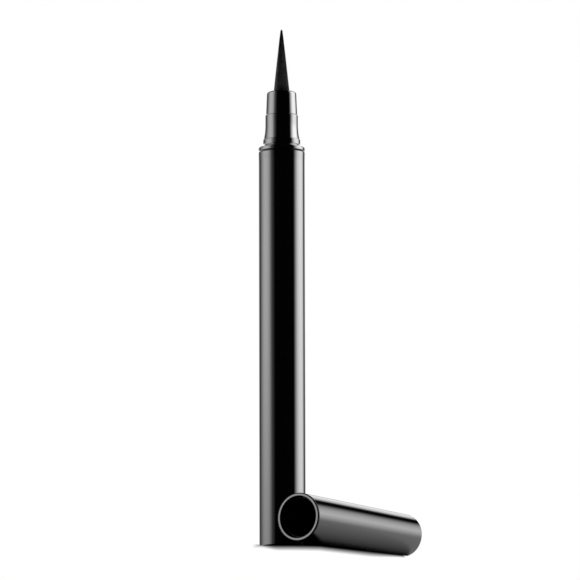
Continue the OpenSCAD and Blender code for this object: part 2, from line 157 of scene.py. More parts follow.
class CapSizes(bpy.types.PropertyGroup):
    """Sizes of the cap, its liner, the sealing cup and the spring."""

    cap_length: length("Cap length", "Length of the cap", 45.4)
    mouth_diameter: length("Mouth diameter", "Outer diameter at the cap's mouth", 10.9)
    end_diameter: length("End diameter", "Outer diameter at the closed end", 9.8)
    lip_edge: length("Lip edge", "Radius of the rounded outer edge of the mouth", 0.26)
    end_edge: length("End edge", "Radius of the rounded edge round the closed end", 0.4)
    mouth_bore: length("Mouth bore", "Diameter just inside the mouth", 9.42)
    liner_bore: length("Liner seat", "Diameter of the bore that holds the liner", 9.24)
    wire: length("Spring wire", "Diameter of the spring's wire", 0.5)
    spring_diameter: length("Spring diameter", "Outer diameter of the spring", 6.8)
    spring_turns: whole("Spring turns", "Turns of the spring", 7, 3)


class BrushSizes(bpy.types.PropertyGroup):
    """Sizes of the bristle bundle."""

    strands: whole("Strands", "Number of bristles", 2200, 100)
    bundle_diameter: length("Bundle diameter", "Diameter of the bundle at its root", 3.9)
    strand_diameter: length("Strand diameter", "Diameter of one bristle at its root", 0.085)
    point_diameter: length("Point diameter", "Width left at the point", 0.38)
    shortest: amount("Shortest strand", "Part that the shortest outer strand lacks", 0.3, 0.9)
    wave: length("Wave", "How far a bristle wanders from its straight line", 0.09)
    seed: whole("Seed", "Seed of the bristles' lengths and waves", 7)


class PenFinishes(bpy.types.PropertyGroup):
    """Colours of the pen's surfaces."""

    lacquer: colour("Lacquer", "Barrel lacquer", (0.0012, 0.0012, 0.0013))
    moulding: colour("Moulding", "Collar and nib holder", (0.0012, 0.0012, 0.0013))
    cap: colour("Cap", "Cap lacquer", (0.0012, 0.0012, 0.0013))
    lip: colour("Cap lip", "Polished lip round the cap's mouth", (0.01, 0.01, 0.0105))
    lining: colour("Lining", "Plastic inside the cap", (0.002, 0.002, 0.0021))
    bristle: colour("Bristle", "Ink black bristles", (0.003, 0.003, 0.0031))
    natural: colour("Natural plastic", "Comb, bung, pipe and bush", (0.8, 0.8, 0.78))
    tank: colour("Tank plastic", "Milky ink tank", (0.72, 0.74, 0.75))
    fibre: colour("Fibre", "Feed core", (0.86, 0.86, 0.84))
    rubber: colour("Rubber", "Sealing rings", (0.05, 0.05, 0.05))
    steel: colour("Steel", "Balls and spring", (0.62, 0.62, 0.64))
    ferrule: colour("Ferrule", "Crimped aluminium tube", (0.6, 0.6, 0.62))


class StudioSettings(bpy.types.PropertyGroup):
    """Camera and light, seen from the camera's side."""

    camera_azimuth: tilt("Camera azimuth", "Direction of the camera round Z", -57.5)
    camera_distance: length("Camera distance", "Level distance from the pen's axis", 1400)
    camera_drop: length("Camera drop", "How far the camera is below the floor", 134)
    aim_height: length("Aim height", "Height that the camera looks at", 58.61)
    aim_side: length("Aim side", "How far right of the pen's axis the camera looks", 1.81)
    camera_roll: tilt("Camera roll", "Turn of the camera about its view", -0.13)
    scale_px: amount("Scale", "Pixels to the millimetre at the pen", 4.41)
    left_panel: amount("Left panel", "Level of the left soft panel", 2.8)
    left_spill: amount("Left spill", "Level of the light round the left panel", 0.85)
    right_panel: amount("Right panel", "Level of the right soft panel", 7.4)
    back_light: amount("Back light", "Level of the high light behind", 2.0)
    backdrop: amount("Backdrop", "Level of the backdrop in reflections", 0.7)
    floor_light: amount("Floor light", "Level of the floor in the pen's gloss", 1.4)
    fill: amount("Fill", "Level of the faint light from all sides", 0.004)


# Node trees.


class Bench:
    """Adds nodes to a tree and wires them."""

    def __init__(self, tree):
        self.tree = tree
        tree.nodes.clear()

    def feed(self, socket, value):
        """Links a socket, or sets it."""
        if isinstance(value, bpy.types.NodeSocket):
            self.tree.links.new(value, socket)
        else:
            socket.default_value = value

    def add(self, kind, inputs=None, **settings):
        """A node with its settings made and its inputs set or linked."""
        node = self.tree.nodes.new(kind)
        for key, value in settings.items():
            setattr(node, key, value)
        for key, value in (inputs or {}).items():
            self.feed(node.inputs[key], value)
        return node

    def result(self, kind, inputs=None, **settings):
        """First output of a new node."""
        return self.add(kind, inputs, **settings).outputs[0]

    def math(self, operation, *values):
        """Result of a math node."""
        return self.result("ShaderNodeMath", dict(enumerate(values)), operation=operation)

    def chain(self, operation, values):
        """Values joined one after the other by a math node."""
        joined = values[0]
        for value in values[1:]:
            joined = self.math(operation, joined, value)
        return joined

    def product(self, *values):
        """All values multiplied."""
        return self.chain("MULTIPLY", values)

    def total(self, *values):
        """All values added."""
        return self.chain("ADD", values)

    def most(self, *values):
        """The largest of the values."""
        return self.chain("MAXIMUM", values)

    def ratio(self, value, divisor):
        """One value divided by another."""
        return self.math("DIVIDE", value, divisor)

    def less(self, value, taken):
        """One value less another."""
        return self.math("SUBTRACT", value, taken)

    def spread(self, value, low, high, start=0.0, end=1.0, kind="LINEAR"):
        """Value moved from one range to another and held at both ends."""
        inputs = {"Value": value, "From Min": low, "From Max": high, "To Min": start, "To Max": end}
        return self.result("ShaderNodeMapRange", inputs, interpolation_type=kind)

    def soft(self, value, low, high, start=0.0, end=1.0):
        """Same, with a soft start and end."""
        return self.spread(value, low, high, start, end, kind="SMOOTHSTEP")

    def vector(self, operation, *values):
        """Result of a vector math node."""
        return self.result("ShaderNodeVectorMath", dict(enumerate(values)), operation=operation)

    def measure(self, operation, *values):
        """The number that a vector math node gives."""
        inputs = dict(enumerate(values))
        return self.add("ShaderNodeVectorMath", inputs, operation=operation).outputs["Value"]

    def scaled(self, vector, factor):
        """A vector times a factor."""
        return self.result("ShaderNodeVectorMath", {0: vector, "Scale": factor}, operation="SCALE")

    def upright(self, vector):
        """The Z of a vector."""
        return self.add("ShaderNodeSeparateXYZ", {0: vector}).outputs["Z"]

    def point(self, **axes):
        """A vector put together from its X, Y and Z."""
        return self.result("ShaderNodeCombineXYZ", axes)

    def glow(self, strength):
        """White light given off by a surface."""
        return self.result("ShaderNodeEmission", {"Strength": strength})

    def blend(self, share, first, second):
        """A share of the second shader, and the rest from the first."""
        return self.result("ShaderNodeMixShader", {0: share, 1: first, 2: second})


def surface(name, base, roughness, **sockets):
    """A material with one Principled shader, and the bench it is built on."""
    material = bpy.data.materials.new(name)
    material.use_nodes = True
    bench = Bench(material.node_tree)
    shader = bench.add("ShaderNodeBsdfPrincipled")
    shader.inputs["Base Color"].default_value = (*base, 1)
    shader.inputs["Roughness"].default_value = roughness
    for key, value in sockets.items():
        shader.inputs[key.replace("_", " ")].default_value = value
    bench.add("ShaderNodeOutputMaterial", {"Surface": shader.outputs[0]})
    return material, bench, shader


def grain(bench, size_mm, detail, stretch=(1, 1, 1)):
    """Noise on the piece's own coordinates, with features of a size in millimetres."""
    place = bench.add("ShaderNodeTexCoord").outputs["Object"]
    laid = bench.result("ShaderNodeMapping", {"Vector": place, "Scale": stretch})
    inputs = {"Vector": laid, "Scale": 1 / (size_mm * MM), "Detail": detail}
    return bench.result("ShaderNodeTexNoise", inputs)


def bump(bench, shader, height, depth_mm):
    """Relief of a depth in millimetres."""
    inputs = {"Height": height, "Distance": depth_mm * MM, "Strength": 1.0}
    bench.feed(shader.inputs["Normal"], bench.result("ShaderNodeBump", inputs))


def toned(bench, shader, base, tone):
    """Base colour made lighter and darker by a tone."""
    bench.feed(shader.inputs["Base Color"], bench.vector("MULTIPLY", tuple(base), tone))


def worn(bench, shader, noise, span, low, high):
    """Roughness that follows a noise between two values."""
    bench.feed(shader.inputs["Roughness"], bench.spread(noise, *span, low, high))


def lacquer(name, base, rough, ior, coat_ior=None):
    """Gloss black plastic with faint moulding waves, and handling marks that dull it a little."""
    coat = {"Coat_Weight": 1.0, "Coat_IOR": coat_ior} if coat_ior else {}
    material, bench, shader = surface(
        name, base, rough, IOR=ior, Coat_Roughness=rough * 0.6, **coat
    )
    marks = grain(bench, size_mm=1.6, detail=4.0)
    worn(bench, shader, marks, (0.35, 0.7), rough * 0.8, rough * 1.5)
    bump(bench, shader, grain(bench, size_mm=3.5, detail=1.0), depth_mm=0.0012)
    return material


def satin_plastic(name, base, rough, size_mm, depth_mm, **sockets):
    """Moulded plastic with a fine eroded texture and a slight change of tone."""
    material, bench, shader = surface(name, base, rough, **sockets)
    fine = grain(bench, size_mm, detail=3.0)
    toned(bench, shader, base, bench.spread(fine, *NOISE_SPAN, 0.88, 1.06))
    worn(bench, shader, fine, NOISE_SPAN, rough * 0.85, min(1, rough * 1.2))
    bump(bench, shader, fine, depth_mm)
    return material


def metal(name, base, rough, stretch=(1, 1, 1)):
    """Drawn or polished metal, with fine marks along the way it was worked."""
    material, bench, shader = surface(name, base, rough, Metallic=1.0)
    lines = grain(bench, size_mm=0.25, detail=3.0, stretch=stretch)
    worn(bench, shader, lines, NOISE_SPAN, rough * 0.7, rough * 1.5)
    bump(bench, shader, lines, depth_mm=0.002)
    return material


def bristle_material(finishes):
    """Ink black bristles: each has its own depth of black and a little gloss from the wet ink."""
    material, bench, shader = surface("ink_wet_bristle", finishes.bristle, roughness=0.4, IOR=1.5)
    shade = bench.add("ShaderNodeAttribute", attribute_name="shade").outputs["Fac"]
    wet, span = grain(bench, size_mm=0.7, detail=3.0), (0.35, 0.65)
    tone = bench.product(bench.spread(shade, 0, 1, 0.4, 1.6), bench.spread(wet, *span, 0.3, 2.2))
    toned(bench, shader, finishes.bristle, tone)
    worn(bench, shader, wet, span, 0.3, 0.6)
    return material


# Turned pieces.


def arc(middle, radius, start, end, steps):
    """Points along an arc, with its angles in degrees."""
    angles = [math.radians(start + (end - start) * i / steps) for i in range(steps + 1)]
    return [(middle[0] + radius * math.cos(a), middle[1] + radius * math.sin(a)) for a in angles]


def eased(corners, steps=6):
    """Outline with its corners rounded. A corner is (radius, height) or (radius, height, edge)."""
    straight, half_a_side, no_turn = math.radians(175), 0.49, 1e-4
    count, outline = len(corners), []
    for i, corner in enumerate(corners):
        here = Vector(corner[:2])
        before, after = (Vector(corners[j % count][:2]) - here for j in (i - 1, i + 1))
        edge = corner[2] if len(corner) > 2 else 0
        turn = before.angle(after) if before.length and after.length else math.pi
        if edge <= 0 or turn > straight:
            outline.append(tuple(here))
            continue
        reach = min(edge / math.tan(turn / 2), half_a_side * min(before.length, after.length))
        edge = reach * math.tan(turn / 2)
        before, after = before.normalized(), after.normalized()
        middle = here + (before + after).normalized() * (edge / math.sin(turn / 2))
        first, last = here + before * reach - middle, here + after * reach - middle
        for k in range(steps + 1):
            bent = first
            if first.angle(last) > no_turn:
                bent = first.slerp(last, k / steps) * first.length
            outline.append(tuple(middle + bent))
    return outline


def braced(outline, closed):
    """Adds a point close to each end of a long run, so that its shading stays straight."""
    near, result = 0.06, []
    last = len(outline) if closed else len(outline) - 1
    for i, point in enumerate(outline):
        result.append(point)
        if i >= last:
            continue
        here, there = Vector(point), Vector(outline[(i + 1) % len(outline)])
        run = (there - here).length
        if run > 4 * near:
            step = (there - here).normalized() * near
            result += [tuple(here + step), tuple(there - step)]
    return result


def turned(name, outline, sides, place=Matrix.Identity(4)):
    """A mesh turned about Z from a half outline in millimetres, open where that meets the axis."""
    closed = not any(radius < ON_AXIS for radius, _ in outline)
    around = [2 * math.pi * k / sides for k in range(sides)]
    shape, rings = bmesh.new(), []
    for radius, height in braced(outline, closed):
        if radius < ON_AXIS:
            rings.append([shape.verts.new((0, 0, height * MM))] * sides)
            continue
        ring = [(radius * math.cos(a) * MM, radius * math.sin(a) * MM, height * MM) for a in around]
        rings.append([shape.verts.new(spot) for spot in ring])
    for low, high in zip(rings, rings[1:] + (rings[:1] if closed else [])):
        for k in range(sides):
            j = (k + 1) % sides
            corners = list(dict.fromkeys([low[k], low[j], high[j], high[k]]))
            if len(corners) > 2:
                shape.faces.new(corners)
    bmesh.ops.remove_doubles(shape, verts=shape.verts, dist=1e-8)
    bmesh.ops.recalc_face_normals(shape, faces=shape.faces)
    mesh = bpy.data.meshes.new(name)
    shape.to_mesh(mesh)
    shape.free()
    mesh.transform(place)
    mesh.shade_smooth()
    mesh.set_sharp_from_angle(angle=math.radians(40))
    return mesh


def leave_unpolished(mesh, finishes, low, high):
    """Gives the faces between two heights the duller black skin of the parting groove."""
    skin = satin_plastic(
        "unpolished_groove", finishes.moulding, rough=0.2, size_mm=0.1, depth_mm=0.001, IOR=1.3
    )
    mesh.materials.append(skin)
    for face in mesh.polygons:
        if low < face.center.z < high:
            face.material_index = 1


def place_piece(name, mesh, body, material, node):
    """Puts a finished mesh in the scene, in place of the CAD node that it stands for."""
    piece = bpy.data.objects.new(name, mesh)
    bpy.context.scene.collection.objects.link(piece)
    if material:
        mesh.materials.clear()
        mesh.materials.append(material)
    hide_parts(node)
    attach(piece, body)
    return piece


def turned_piece(name, outline, body, slot, material, node, place=Matrix.Identity(4)):
    """Turns a piece from its outline and puts it in the scene."""
    mesh = turned(name, outline, bpy.context.scene.pen_sizes.turned_sides, place)
    return place_piece(name, mesh, body, material, node)


def cap_lie(sizes):
    """Middle of the lying cap's mouth, and the direction from there to its closed end."""
    end, axis = mount("cap_end_face")
    return end - axis * sizes.cap_length, axis


def laid(spot, axis):
    """Matrix that lays a shape made about Z along an axis, with its foot at a spot."""
    return Matrix.Translation(spot) @ axis.to_track_quat("Z", "Y").to_matrix().to_4x4()


# Fits, edges and hidden sizes in millimetres, angles in degrees, and the power of the flare's bend.
PUSH_GAP = 0.02
FINE_EDGE = 0.05
SMALL_EDGE = 0.1
SOFT_EDGE = 0.12
SHADE_RIM_HEIGHT = 0.48
BEAD_TURN = 60
SHOULDER_SLOPE = 30
FLARE_BEND = 2.5
HOLDER_TAIL = 3.05
LINER_FOOT = 1.1
LINER_TOP = 31.0
CAP_END_WALL = 1.2
SPRING_ROOM = 4.4
CLICK_HEIGHT = 0.56


def barrel_outline(sizes):
    """Sleeve with a rounded foot and a slightly raised rim."""
    outer = sizes.barrel_diameter / 2 / MM
    bore = outer - sizes.barrel_wall / MM
    top, rise, swell = cad_height("barrel_sleeve"), sizes.rim_rise / MM, sizes.rim_height / MM
    steps, side = 12, []
    for i in range(steps + 1):
        s = i / steps
        side.append((outer + rise * s * s * (3 - 2 * s), top - swell + (swell - SOFT_EDGE) * s))
    return eased(
        [(bore, 0, FINE_EDGE), (outer, 0, sizes.base_edge / MM)]
        + side
        + [(outer + rise, top, SOFT_EDGE), (bore, top, FINE_EDGE)],
        steps=8,
    )


def groove_outline(ring):
    """Corners of a sealing ring's groove, from its foot to its top."""
    middle = (cad_height(ring) + cad_height(ring, top=False)) / 2
    cord = cad_width(ring, axis=2)
    mean, half = cad_width(ring) / 2 - cord / 2, cord / 2 + PUSH_GAP
    wall, floor = mean + cord / 2 - PUSH_GAP / 2, mean - cord / 2 - PUSH_GAP
    low, high = middle - half, middle + half
    return [(wall, low), (floor, low, FINE_EDGE), (floor, high, FINE_EDGE), (wall, high)]


def plug_outline():
    """Tail plug: a head flush with the base, and a spigot with the ring's groove."""
    head = cad_width("tail_plug") / 2
    head_top, top = cad_height("ink_tank", top=False), cad_height("tail_plug")
    groove = groove_outline("tail_seal")
    spigot = groove[0][0]
    return eased(
        [(0, 0), (head, 0, SOFT_EDGE), (head, head_top, FINE_EDGE), (spigot, head_top, FINE_EDGE)]
        + groove
        + [(spigot, top, 2 * SOFT_EDGE), (0, top)]
    )


def collar_outline(sizes):
    """Front section: spigot and register in the barrel, then groove, shoulder, bead and flare."""
    foot, top = cad_height("front_section", top=False), cad_height("front_section")
    barrel_top, rim = cad_height("barrel_sleeve"), cad_width("barrel_sleeve") / 2
    barrel = sizes.barrel_diameter / 2 / MM
    register = barrel - sizes.barrel_wall / MM - PUSH_GAP
    groove_r = barrel - sizes.groove_depth / MM
    bead, neck = sizes.bead_diameter / 2 / MM, sizes.neck_diameter / 2 / MM
    shoulder_z0 = barrel_top + sizes.groove_height / MM
    shoulder_z1 = shoulder_z0 + sizes.shoulder_height / MM
    bead_z1 = shoulder_z1 + sizes.bead_height / MM
    edge, turn = sizes.bead_height / 6 / MM, math.radians(BEAD_TURN)
    foot_edge = edge / 2
    bead_foot = bead - foot_edge * (1 - math.cos(turn))
    flare_foot = bead - edge * (1 - math.cos(turn))
    flare_z0 = bead_z1 - edge * (1 - math.sin(turn))
    flare_z1 = bead_z1 + sizes.flare_height / MM
    hole = cad_width("feed_pipe") / 2 + PUSH_GAP
    shelf_z = cad_height("nib_holder", top=False)
    socket = HOLDER_TAIL + PUSH_GAP
    groove = groove_outline("section_seal")
    spigot = groove[0][0]
    seat_z = cad_height("ink_tank")
    inside = [(hole, foot, FINE_EDGE), (spigot, foot, SOFT_EDGE)] + groove
    inside += [(spigot, seat_z), (register, seat_z, FINE_EDGE)]
    inside += [(register, barrel_top), (groove_r, barrel_top)]
    round_r, slope = sizes.shoulder_edge / MM, math.radians(SHOULDER_SLOPE)
    slope_foot = rim - round_r * (1 - math.sin(slope))
    round_z = shoulder_z1 - (slope_foot - bead_foot) * math.tan(slope) - round_r * math.cos(slope)
    shoulder = [(groove_r, shoulder_z0), (rim, shoulder_z0, SMALL_EDGE)]
    shoulder += arc((rim - round_r, round_z), round_r, 0, 90 - SHOULDER_SLOPE, steps=16)
    ridge_z = shoulder_z1 + foot_edge * math.sin(turn)
    ridge = arc((bead - foot_edge, ridge_z), foot_edge, -BEAD_TURN, 0, steps=8)
    ridge += arc((bead - edge, bead_z1 - edge), edge, 0, BEAD_TURN, steps=6)
    steps, flare = 24, []
    for i in range(1, steps + 1):
        s = i / steps
        flare_r = neck + (flare_foot - neck) * (1 - s) ** FLARE_BEND
        flare.append((flare_r, flare_z0 + (flare_z1 - flare_z0) * s))
    end = [(neck, top, SOFT_EDGE), (socket, top, FINE_EDGE)]
    end += [(socket, shelf_z), (hole, shelf_z, FINE_EDGE)]
    return eased(inside + shoulder + ridge + flare + end)


def holder_outline(sizes):
    """Nib holder: a tail inside the collar and a tapered head with a rounded top."""
    foot, top = cad_height("nib_holder", top=False), cad_height("nib_holder")
    seat_z = cad_height("front_section")
    ferrule_top = cad_height("brush_ferrule")
    bore = cad_width("brush_ferrule") / 2 + PUSH_GAP
    head_foot = cad_width("nib_holder") / 2
    head_top, mouth = sizes.head_top_diameter / 2 / MM, sizes.brush_mouth / 2 / MM
    lip = 2 * SOFT_EDGE
    return eased(
        [
            (bore, foot, FINE_EDGE),
            (HOLDER_TAIL, foot, SOFT_EDGE),
            (HOLDER_TAIL, seat_z),
            (head_foot, seat_z, SOFT_EDGE),
            (head_top, top, sizes.head_edge / MM),
            (mouth + lip / 2, top, SMALL_EDGE),
            (mouth, top - lip, SMALL_EDGE),
            (mouth, ferrule_top),
            (bore, ferrule_top),
        ],
        steps=12,
    )


def cap_outline(sizes):
    """Cap shell: a slender cone with a rounded closed end, and a flat lip round its mouth."""
    mouth, end = sizes.mouth_diameter / 2 / MM, sizes.end_diameter / 2 / MM
    full = sizes.cap_length / MM
    bore, seat = sizes.mouth_bore / 2 / MM, sizes.liner_bore / 2 / MM
    floor = full - CAP_END_WALL
    return eased(
        [
            (bore, 0, SOFT_EDGE),
            (mouth, 0, sizes.lip_edge / MM),
            (mouth + (end - mouth) * SHADE_RIM_HEIGHT / full, SHADE_RIM_HEIGHT),
            (end, full, sizes.end_edge / MM),
            (0, full),
            (0, floor),
            (SPRING_ROOM, floor, 2 * SMALL_EDGE),
            (SPRING_ROOM, LINER_TOP),
            (seat, LINER_TOP),
            (seat, LINER_FOOT),
            (bore, LINER_FOOT),
        ],
        steps=10,
    )


def liner_outline(sizes):
    """Liner: a grip with a small click ring, and a guide for the sealing cup behind it."""
    outer = sizes.liner_bore / 2 / MM - PUSH_GAP
    grip, click, guide, step_z, step_edge = 4.28, 4.21, 4.0, 6.98, 0.08
    return eased(
        [
            (grip, LINER_FOOT, step_edge),
            (outer, LINER_FOOT, SOFT_EDGE),
            (outer, LINER_TOP, FINE_EDGE),
            (guide, LINER_TOP, FINE_EDGE),
            (guide, step_z, step_edge),
            (grip, step_z),
            (grip, LINER_FOOT + 2 * CLICK_HEIGHT, 2 * SMALL_EDGE),
            (click, LINER_FOOT + 1.5 * CLICK_HEIGHT, 2 * SMALL_EDGE),
            (click, LINER_FOOT + CLICK_HEIGHT, 2 * SMALL_EDGE),
        ]
    )


def cup_outline():
    """Sealing cup: its bore goes over the nib holder, and its flange rests behind the liner."""
    mouth_z, floor_z, flange, pin = 7.1, 30.32, 0.7, 1.4
    bore, outer, stop, end_bore, centre, end_edge, taper_edge = 3.61, 3.95, 4.35, 2.95, 2.5, 0.4, 3
    stop_z0 = LINER_TOP + PUSH_GAP
    stop_z1 = stop_z0 + flange
    return eased(
        [
            (bore, mouth_z, SMALL_EDGE),
            (outer, mouth_z, SOFT_EDGE),
            (outer, stop_z0),
            (stop, stop_z0, FINE_EDGE),
            (stop, stop_z1, FINE_EDGE),
            (centre, stop_z1),
            (centre - SOFT_EDGE, stop_z1 + pin, SMALL_EDGE),
            (0, stop_z1 + pin),
            (0, floor_z),
            (end_bore, floor_z, end_edge),
            (bore, (mouth_z + floor_z) / 2, taper_edge),
        ]
    )


# Grown pieces.


def tree_with(name, counts, numbers):
    """A geometry node tree with named inputs, a material and one geometry output."""
    tree = bpy.data.node_groups.new(name, "GeometryNodeTree")
    for kind, names in (("Int", counts), ("Float", numbers), ("Material", ("Material",))):
        for socket in names:
            tree.interface.new_socket(socket, in_out="INPUT", socket_type="NodeSocket" + kind)
    tree.interface.new_socket("Geometry", in_out="OUTPUT", socket_type="NodeSocketGeometry")
    bench = Bench(tree)
    return tree, bench, bench.add("NodeGroupInput").outputs


def end_tree(bench, inputs, geometry):
    """Ends a tree in smooth, real geometry with its material."""
    smooth = bench.result("GeometryNodeSetShadeSmooth", {0: geometry})
    real = bench.result("GeometryNodeRealizeInstances", {0: smooth})
    finish = {"Geometry": real, "Material": inputs["Material"]}
    bench.add("NodeGroupOutput", {0: bench.result("GeometryNodeSetMaterial", finish)})


def grown(name, tree, values):
    """Runs a tree on an empty mesh and gives the result as a plain mesh."""
    host = bpy.data.objects.new(name + "_host", bpy.data.meshes.new(name + "_host"))
    bpy.context.scene.collection.objects.link(host)
    modifier = host.modifiers.new(name, "NODES")
    modifier.node_group = tree
    for item in tree.interface.items_tree:
        if item.item_type == "SOCKET" and item.in_out == "INPUT":
            modifier[item.identifier] = values[item.name]
    depsgraph = bpy.context.evaluated_depsgraph_get()
    mesh = bpy.data.meshes.new_from_object(host.evaluated_get(depsgraph), depsgraph=depsgraph)
    host.modifiers.remove(modifier)
    bpy.data.objects.remove(host)
    mesh.name = name
    return mesh


def bristle_tree():
    """Bristles set in a disc, each leaning to one point above the brush, round a packed core."""
    tip_share, slimming, gathering = 0.22, 0.5, 0.93
    wave_scale, wave_stretch, both_ways = 1500.0, 0.35, 2.0
    core_width, core_top = 0.86, 0.84
    heights = ("Foot height", "Reach", "Lean height")
    numbers = ("Root radius", "Strand radius", *heights, "Shortest", "Wave")
    tree, bench, inputs = tree_with("bristle_bundle", ("Strands", "Seed"), numbers)

    def cone(sides, rings, top, bottom, depth):
        radii = {"Radius Top": top, "Radius Bottom": bottom}
        shape = {"Vertices": sides, "Side Segments": rings, "Depth": depth, **radii}
        return bench.result("GeometryNodeMeshCone", shape)

    def random(seed_step):
        seed = {"Seed": bench.total(inputs["Seed"], seed_step)}
        return bench.add("FunctionNodeRandomValue", seed, data_type="FLOAT").outputs[1]

    def read(name, kind="FLOAT"):
        return bench.result("GeometryNodeInputNamedAttribute", {"Name": name}, data_type=kind)

    index = bench.result("GeometryNodeInputIndex")
    rim = bench.math("SQRT", bench.ratio(bench.total(index, 0.5), inputs["Strands"]))
    out = bench.product(rim, inputs["Root radius"])
    golden_turn = math.pi * (3 - math.sqrt(5))
    angle = bench.product(index, golden_turn)
    foot = bench.point(
        X=bench.product(out, bench.math("COSINE", angle)),
        Y=bench.product(out, bench.math("SINE", angle)),
    )
    points = bench.result("GeometryNodePoints", {"Count": inputs["Strands"], "Position": foot})
    for name, value in {"foot": foot, "drop": random(0), "shade": random(1), "rim": rim}.items():
        points = bench.result(
            "GeometryNodeStoreNamedAttribute",
            {"Geometry": points, "Name": name, "Value": value},
            data_type="FLOAT_VECTOR" if name == "foot" else "FLOAT",
            domain="POINT",
        )
    width = inputs["Strand radius"]
    rooted = bench.result(
        "GeometryNodeInstanceOnPoints",
        {
            "Points": points,
            "Instance": cone(sides=4, rings=4, top=tip_share, bottom=1.0, depth=1.0),
            "Rotation": bench.point(Z=angle),
            "Scale": bench.point(X=width, Y=width, Z=1.0),
        },
    )
    loose = bench.result("GeometryNodeRealizeInstances", {0: rooted})

    here, root = bench.result("GeometryNodeInputPosition"), read("foot", "FLOAT_VECTOR")
    up = bench.upright(here)
    drop = bench.product(inputs["Shortest"], read("drop"), read("rim"))
    rise = bench.product(up, inputs["Reach"], bench.less(1.0, drop))
    lean = bench.less(1.0, bench.ratio(rise, inputs["Lean height"]))
    flat = bench.vector("MULTIPLY", bench.vector("SUBTRACT", here, root), (1, 1, 0))
    slim = bench.scaled(flat, bench.math("POWER", lean, slimming))
    drawn = bench.scaled(root, bench.math("POWER", lean, gathering))
    wander = bench.vector("ADD", root, bench.point(Z=bench.product(rise, wave_stretch)))
    noise = bench.add(
        "ShaderNodeTexNoise", {"Vector": wander, "Scale": wave_scale, "Detail": 1.0}
    ).outputs["Color"]
    sway = bench.vector("MULTIPLY", bench.vector("SUBTRACT", noise, (0.5, 0.5, 0.5)), (1, 1, 0))
    swayed = bench.scaled(sway, bench.product(inputs["Wave"], up, lean, both_ways))
    height = bench.point(Z=bench.total(rise, inputs["Foot height"]))
    level = bench.vector("ADD", drawn, slim)
    place = bench.vector("ADD", level, bench.vector("ADD", swayed, height))
    strands = bench.result("GeometryNodeSetPosition", {"Geometry": loose, "Position": place})

    core_r = bench.product(inputs["Root radius"], core_width)
    depth = bench.product(inputs["Reach"], core_top)
    core_lean = bench.less(1.0, bench.ratio(depth, inputs["Lean height"]))
    core_tip = bench.product(core_r, core_lean)
    core = cone(sides=32, rings=12, top=core_tip, bottom=core_r, depth=depth)
    lift = bench.point(Z=inputs["Foot height"])
    core = bench.result("GeometryNodeTransform", {"Geometry": core, "Translation": lift})
    joined = bench.add("GeometryNodeJoinGeometry", {0: strands})
    bench.feed(joined.inputs[0], core)
    end_tree(bench, inputs, joined.outputs[0])
    return tree


def spring_tree():
    """A compression spring with its end turns closed."""
    closed_pitch = 2.04
    numbers = ("Coil radius", "Wire radius", "Length")
    tree, bench, inputs = tree_with("closed_end_spring", ("Turns",), numbers)
    turns, coil, wire, full = (inputs[name] for name in ("Turns", *numbers))
    radii = {"Start Radius": coil, "End Radius": coil}
    spiral = bench.result(
        "GeometryNodeCurveSpiral", {"Resolution": 32, "Rotations": turns, **radii, "Height": full}
    )
    along = bench.add("GeometryNodeSplineParameter").outputs["Factor"]
    closed = bench.product(turns, wire, closed_pitch)
    one = bench.ratio(1.0, turns)
    open_part = bench.spread(along, one, bench.less(1.0, one))
    rise = bench.total(
        bench.product(along, closed), bench.product(open_part, bench.less(full, closed))
    )
    level = bench.vector("MULTIPLY", bench.result("GeometryNodeInputPosition"), (1, 1, 0))
    place = bench.vector("ADD", level, bench.point(Z=rise))
    wound = bench.result("GeometryNodeSetPosition", {"Geometry": spiral, "Position": place})
    profile = bench.result("GeometryNodeCurvePrimitiveCircle", {"Resolution": 12, "Radius": wire})
    swept = {"Curve": wound, "Profile Curve": profile, "Fill Caps": True}
    end_tree(bench, inputs, bench.result("GeometryNodeCurveToMesh", swept))
    return tree


# Operators.


class MakeBarrel(bpy.types.Operator):
    """Turn the lacquered barrel sleeve and the tail plug"""

    bl_idname = "eyeliner_pen.barrel"
    bl_label = "Barrel"

    def execute(self, context):
        sizes, finishes = context.scene.pen_sizes, context.scene.pen_finishes
        gloss = lacquer("barrel_lacquer", finishes.lacquer, rough=0.05, ior=1.5, coat_ior=1.52)
        outline = barrel_outline(sizes)
        sleeve = turned_piece("barrel", outline, "pen", "barrel_lacquer", gloss, "barrel_sleeve")
        rim = cad_height("barrel_sleeve") * MM
        leave_unpolished(sleeve.data, finishes, rim - SOFT_EDGE * MM, rim + MM)
        moulded = lacquer("plug_moulding", finishes.moulding, rough=0.12, ior=1.5)
        outline = plug_outline()
        turned_piece("tail_end_plug", outline, "pen", "section_plastic", moulded, "tail_plug")
        return {"FINISHED"}


class MakeCollar(bpy.types.Operator):
    """Turn the collar with its shoulder, bead and flare, and the nib holder above it"""

    bl_idname = "eyeliner_pen.collar"
    bl_label = "Collar and nib holder"

    def execute(self, context):
        sizes, finishes = context.scene.pen_sizes, context.scene.pen_finishes
        gloss = lacquer("collar_moulding", finishes.moulding, rough=0.05, ior=1.55, coat_ior=1.56)
        outline = collar_outline(sizes)
        collar = turned_piece("collar", outline, "pen", "section_plastic", gloss, "front_section")
        rim = cad_height("barrel_sleeve") * MM
        leave_unpolished(collar.data, finishes, rim, rim + sizes.groove_height + SMALL_EDGE * MM)
        outline = holder_outline(sizes)
        turned_piece("brush_holder", outline, "pen", "section_plastic", gloss, "nib_holder")
        return {"FINISHED"}


